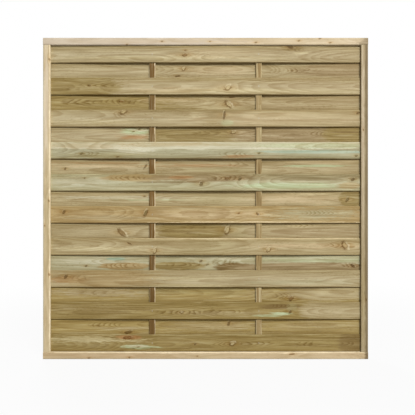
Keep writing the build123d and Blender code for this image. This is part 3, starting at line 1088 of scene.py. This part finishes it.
def make_stile(node, timber, side, seed):
    """A stile between the rails, grooved for the slats, with a tongue on each end."""
    low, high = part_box(node)
    foot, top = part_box("bottom_rail")[1].z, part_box("top_rail")[0].z
    middle = ((low + high) / 2).x
    face = high.x - low.x
    mouth = 2 * (slat_bow()[1] + SLAT_THICKNESS + STILE_GROOVE_PLAY)
    section = eased_section(high.y - low.y, face, FRAME_ARRIS, (mouth, GROOVE_DEPTH))
    tongue = eased_section(TONGUE_THICKNESS, face - GROOVE_DEPTH, TONGUE_ARRIS, steps=2, flats=1)

    def lay(along, across, up):
        return (middle + up * side, -across * side, along)

    def lay_tongue(along, across, up):
        return (middle + (GROOVE_DEPTH / 2 + up) * side, across, along)

    mesh = swept_bar(node, section, foot, top, lay, seed, FRAME_UNEVEN)
    tongues = [swept_bar("tongue", tongue, start, end, lay_tongue, seed, 0.0)
               for start, end in ((low.z, foot + TONGUE_BITE), (top - TONGUE_BITE, high.z))]
    mesh = carve(mesh, tongues, "UNION")
    material = timber_material(node, timber, seed, upright=True, deep=True)
    finish_piece(node + "_bar", mesh, material, "frame_wood", node)


def make_batten(node, timber, seed):
    """An upright batten with eased corners."""
    low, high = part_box(node)
    middle = ((low + high) / 2).x
    section = eased_section(high.y - low.y, high.x - low.x, BATTEN_ARRIS, steps=6)

    def lay(along, across, up):
        return (middle + up, across, along)

    mesh = swept_bar(node, section, low.z, high.z, lay, seed, BATTEN_UNEVEN)
    material = timber_material(node, timber, seed, upright=True)
    finish_piece(node + "_strip", mesh, material, "batten_wood", node)


def slat_bow():
    """How much a slat's face rises from its ends to its middle, and its inner face's height at the ends."""
    low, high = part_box("slat_01")
    end_height = min(abs(low.y), abs(high.y))
    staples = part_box("slat_staples")[1]
    seat_place = staples.x - STAPLE_WIRE_WIDTH / 2
    seat_height = staples.y - STAPLE_WIRE_THICKNESS - SLAT_THICKNESS
    return (seat_height - end_height) / (1 - (seat_place / high.x) ** 2), end_height


def make_slats():
    """Every slat, bowed to the front or the back of the battens as its node is."""
    tree = bowed_slat_tree()
    rise, end_height = slat_bow()
    for number, timber in enumerate(SLATS, 1):
        node = f"slat_{number:02d}"
        low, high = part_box(node)
        centre = (low + high) / 2
        if number % 2 == 0:
            timber.stains.append(PAINTED_LAP_SHADOW)
        material = timber_material(node, timber, float(number))
        mesh = grown_mesh(
            node, tree, length=high.x - low.x, width=high.z - low.z, thickness=SLAT_THICKNESS,
            edge=SLAT_EDGE, end_height=end_height, rise=rise, side=math.copysign(1.0, centre.y),
            middle=centre.z, uneven_edge=SLAT_EDGE_UNEVEN, uneven_face=SLAT_FACE_UNEVEN,
            seed=float(number), timber=material)
        finish_piece(node + "_board", mesh, material, "slat_wood", node)


def staple_shape():
    """One staple: flat wire bent square, its crown along Z and its legs along Y."""
    half = STAPLE_CROWN / 2 - STAPLE_WIRE_THICKNESS / 2
    crown, bend = -STAPLE_WIRE_THICKNESS / 2, STAPLE_BEND
    angles = [math.pi / 2 * step / BEND_STEPS for step in range(BEND_STEPS + 1)]
    route = [(STAPLE_LEG, -half)]
    route += [(bend + crown - bend * math.sin(a), -half + bend - bend * math.cos(a)) for a in angles]
    route += [(y, -z) for y, z in reversed(route)]
    wire = eased_section(STAPLE_WIRE_WIDTH, STAPLE_WIRE_THICKNESS, STAPLE_WIRE_ARRIS, steps=2, flats=0)
    rows = []
    for index, (y, z) in enumerate(route):
        before, after = route[max(index - 1, 0)], route[min(index + 1, len(route) - 1)]
        tangent = Vector((after[0] - before[0], after[1] - before[1])).normalized()
        rows.append([(u, y - tangent.y * v, z + tangent.x * v) for u, v in wire])
    return skin("staple", rows)


def screw_shape():
    """One countersunk screw, head up, its head's top at the origin, with a thread and a cross recess."""
    head, shank = SCREW_HEAD / 2, SCREW_SHANK / 2
    core = shank - THREAD_DEPTH
    plain = -SCREW_LENGTH * PLAIN_SHARE
    tip = -SCREW_LENGTH
    point = tip + SCREW_POINT
    profile = [(0, 0), (head - SCREW_RIM, 0), (head, -SCREW_RIM), (shank, shank - head - SCREW_RIM),
               (shank, plain)]
    profile += [(core, plain + (point - plain) * row / THREAD_ROWS) for row in range(1, THREAD_ROWS + 1)]
    profile += [(core * (1 - row / POINT_ROWS), point + (tip - point) * row / POINT_ROWS)
                for row in range(1, POINT_ROWS)]
    profile += [(0, tip)]

    def thread(turn, radius, height):
        if radius > core or height > plain:
            return 0.0
        phase = (height / THREAD_PITCH - turn / (2 * math.pi)) % 1.0
        ridge = max(0.0, 1 - abs(phase - 0.5) * THREAD_SHARPNESS)
        return THREAD_DEPTH * ridge * min(1.0, radius / core)

    cutters = []
    for width, length in ((RECESS_SPAN, RECESS_WIDTH), (RECESS_WIDTH, RECESS_SPAN)):
        blade = bmesh.new()
        bmesh.ops.create_cube(blade, size=1.0)
        for vert in blade.verts:
            x, y, z = vert.co
            narrow, height = (RECESS_TAPER, -RECESS_DEPTH) if z < 0 else (1.0, SCREW_SINK)
            vert.co = Vector((x * width * narrow, y * length * narrow, height))
        cutters.append(new_mesh("recess", blade))
    mesh = lathe("screw", profile, SCREW_SEGMENTS, lambda x, y, height: (x, y, height), thread)
    return carve(mesh, cutters, "DIFFERENCE")


def make_fixings(name, node, slot, shape, metal, **values):
    """All the fixings of one kind, as one piece."""
    template = new_object("template", shape)
    mesh = grown_mesh(name, groups["fixings"], fixing=template, metal=metal, **values)
    bpy.data.objects.remove(template)
    finish_piece(name, mesh, metal, slot, node)


def make_staples():
    low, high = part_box("slat_staples")
    metal = metal_material("galvanised_wire", *GALVANISED)
    rows = len(SLATS)
    make_fixings(
        "slat_staples_wire", "slat_staples", "staple_metal", staple_shape(), metal, columns=2, rows=rows,
        column_gap=high.x - low.x - STAPLE_WIRE_WIDTH, row_gap=(high.z - low.z - STAPLE_CROWN) / (rows - 1),
        middle=(low.z + high.z) / 2, seat=high.y - STAPLE_WIRE_THICKNESS)


def make_screws():
    low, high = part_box("corner_screws")
    metal = metal_material("yellow_zinc", *YELLOW_ZINC)
    make_fixings(
        "corner_screws_zinc", "corner_screws", "screw_metal", screw_shape(), metal, columns=2, rows=2,
        column_gap=2 * screw_offset(), row_gap=high.z - low.z, middle=(low.z + high.z) / 2,
        turned_over=math.pi)


# Floor, light and camera

def seen_or_mirrored(tree):
    """1 for rays from the camera, mirrors and glass, 0 for rays that carry light."""
    path = tree.nodes.new("ShaderNodeLightPath")
    rays = [Number(tree, path.outputs[name])
            for name in ("Is Camera Ray", "Is Glossy Ray", "Is Transmission Ray")]
    return rays[0].at_least(rays[1]).at_least(rays[2])


def make_floor():
    """A pale floor that shows near white and keeps the panel's soft shadow."""
    shape = bmesh.new()
    bmesh.ops.create_circle(shape, cap_ends=True, segments=FLOOR_SEGMENTS, radius=FLOOR_RADIUS)
    mesh = new_mesh("floor", shape)
    material, tree, ports = new_material("pale_floor")
    coordinates = tree.nodes.new("ShaderNodeTexCoord")
    x, y, _ = split(tree, coordinates.outputs["Object"])
    away = (x.squared() + y.squared()).root()
    ports["Base Color"].default_value = (FLOOR_TONE, FLOOR_TONE, FLOOR_TONE, 1)
    ports["Roughness"].default_value = FLOOR_ROUGHNESS
    mixed = tree.nodes.new("ShaderNodeMixShader")
    join(tree, seen_or_mirrored(tree) * (FLOOR_GLOW + (1 - FLOOR_GLOW) * away.rise(*FLOOR_FADE)),
         mixed.inputs["Fac"])
    join(tree, tree.nodes["Principled BSDF"].outputs["BSDF"], mixed.inputs[1])
    join(tree, outcome(tree, "ShaderNodeEmission"), mixed.inputs[2])
    join(tree, mixed.outputs["Shader"], tree.nodes["Material Output"].inputs["Surface"])
    mesh.materials.append(material)
    new_object("floor", mesh)


def make_world():
    """White to the eye, and a soft even light on the panel."""
    world = bpy.data.worlds.new("studio")
    bpy.context.scene.world = world
    world.use_nodes = True
    tree = world.node_tree
    background = tree.nodes["Background"]
    background.inputs["Color"].default_value = (1, 1, 1, 1)
    join(tree, AMBIENT + seen_or_mirrored(tree) * (1 - AMBIENT), background.inputs["Strength"])


def make_lamp(name, place, power):
    """A round soft lamp that faces the panel."""
    lamp = bpy.data.lights.new(name, "AREA")
    lamp.shape = "DISK"
    lamp.size = LAMP_SIZE
    lamp.energy = power
    holder = new_object(name, lamp)
    holder.location = place
    holder.rotation_euler = (Vector(LAMP_TARGET) - Vector(place)).to_track_quat("-Z", "Y").to_euler()


def make_camera():
    """Level, straight in front, as far off as the photograph's perspective says."""
    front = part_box("top_rail")[0].y
    lens = bpy.data.cameras.new("camera")
    lens.sensor_width = SENSOR
    lens.lens = SENSOR * CAMERA_DISTANCE / VIEW_WIDTH
    lens.clip_end = FARTHEST_SEEN
    camera = new_object("camera", lens)
    camera.location = (CAMERA_PLACE[0], front - CAMERA_DISTANCE, CAMERA_PLACE[1])
    camera.rotation_euler = (math.pi / 2, 0.0, 0.0)
    bpy.context.scene.camera = camera


groups = {}
for name, make in {
    "swell": swell_group, "knot": knot_group, "stain": stain_group, "arch": arch_group,
    "rubbed edge": worn_and_highlit_edge_group, "crown": crown_group, "figure": figure_group,
    "pine": treated_pine_group, "metal": worn_metal_group, "fixings": fixings_tree,
}.items():
    groups[name] = make()

make_rail("top_rail", TOP_RAIL, 1, 31.0)
make_rail("bottom_rail", BOTTOM_RAIL, -1, 37.0)
make_stile("left_stile", LEFT_STILE, -1, 41.0)
make_stile("right_stile", RIGHT_STILE, 1, 43.0)
make_batten("left_batten", LEFT_BATTEN, 47.0)
make_batten("right_batten", RIGHT_BATTEN, 53.0)
make_slats()
make_staples()
make_screws()

make_floor()
make_world()
for name, (place, power) in LAMPS.items():
    make_lamp(name, place, power)
make_camera()

bpy.context.scene.view_settings.view_transform = "Standard"
